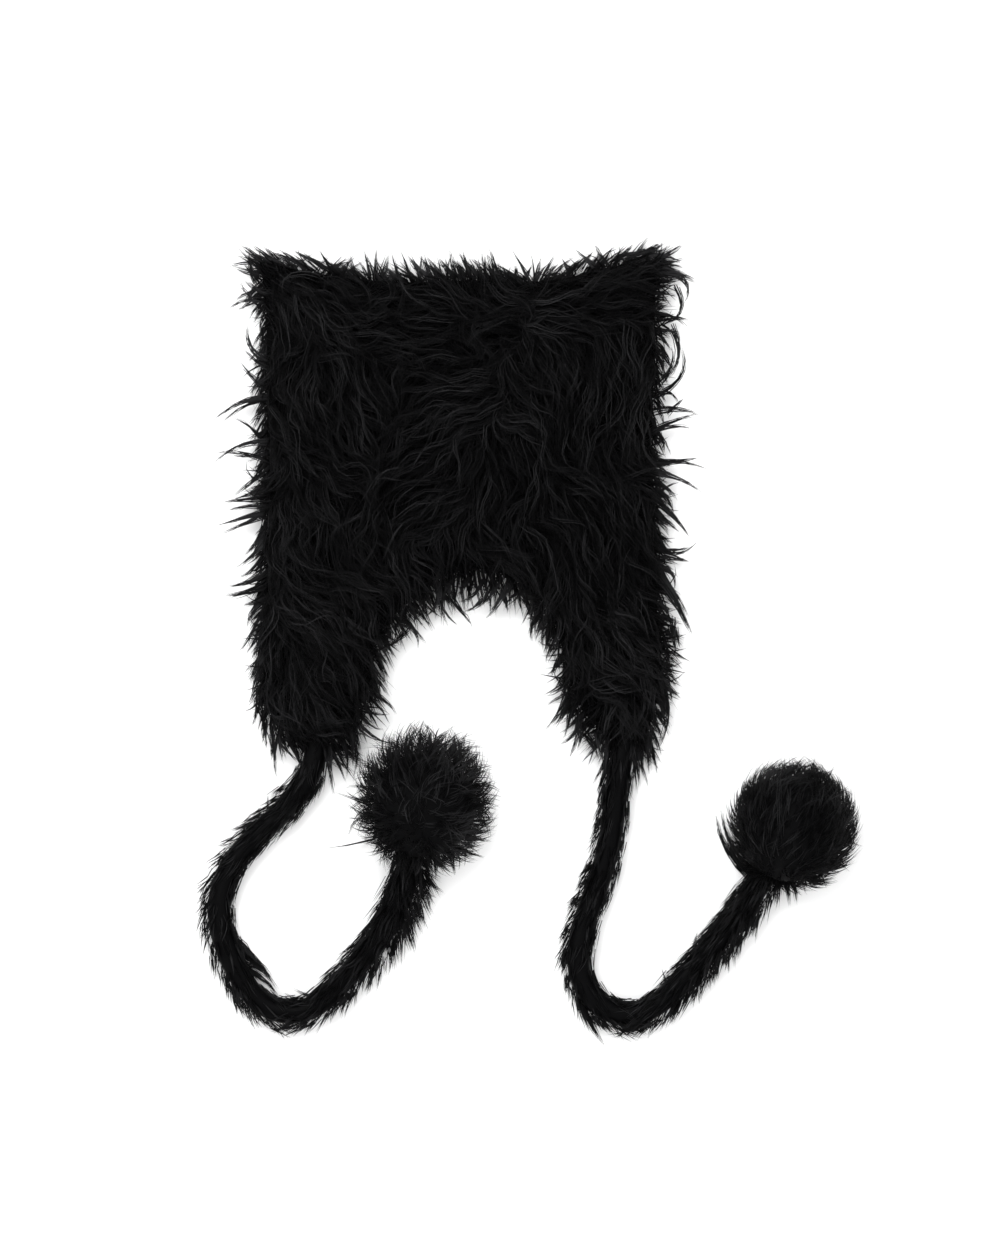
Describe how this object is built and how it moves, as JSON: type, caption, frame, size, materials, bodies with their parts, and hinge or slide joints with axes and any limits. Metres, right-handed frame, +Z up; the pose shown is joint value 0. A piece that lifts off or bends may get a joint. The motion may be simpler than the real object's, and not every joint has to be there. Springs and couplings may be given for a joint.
{
  "type": "long-pile fur hat with ear flaps and pompom ties",
  "caption": "Shaggy fur hat with a square crown, pointed top corners, two ear flaps and furry ties that end in pompoms.",
  "frame": {"origin": "on the surface that the hat lies on, below the middle of the crown and ear flaps", "axes": "+X to the right as seen from above with the rim below, +Y from the rim to the top seam, +Z up off the surface"},
  "size_m": [0.4816, 0.5777, 0.0756],
  "materials": {
    "long_fur": "deep black synthetic fur in loose curling locks",
    "pressed_fur": "the same fur pressed flat under the hat",
    "tie_fur": "short black synthetic fur",
    "pompom_fur": "dense black synthetic fur with a few long strands"
  },
  "bodies": {
    "root": {"crown_front": "long_fur", "crown_back": "pressed_fur", "ear_flap_left": "long_fur", "ear_flap_right": "long_fur", "tie_left": "tie_fur", "tie_right": "tie_fur", "pompom_left": "pompom_fur", "pompom_right": "pompom_fur"}
  },
  "joints": []
}
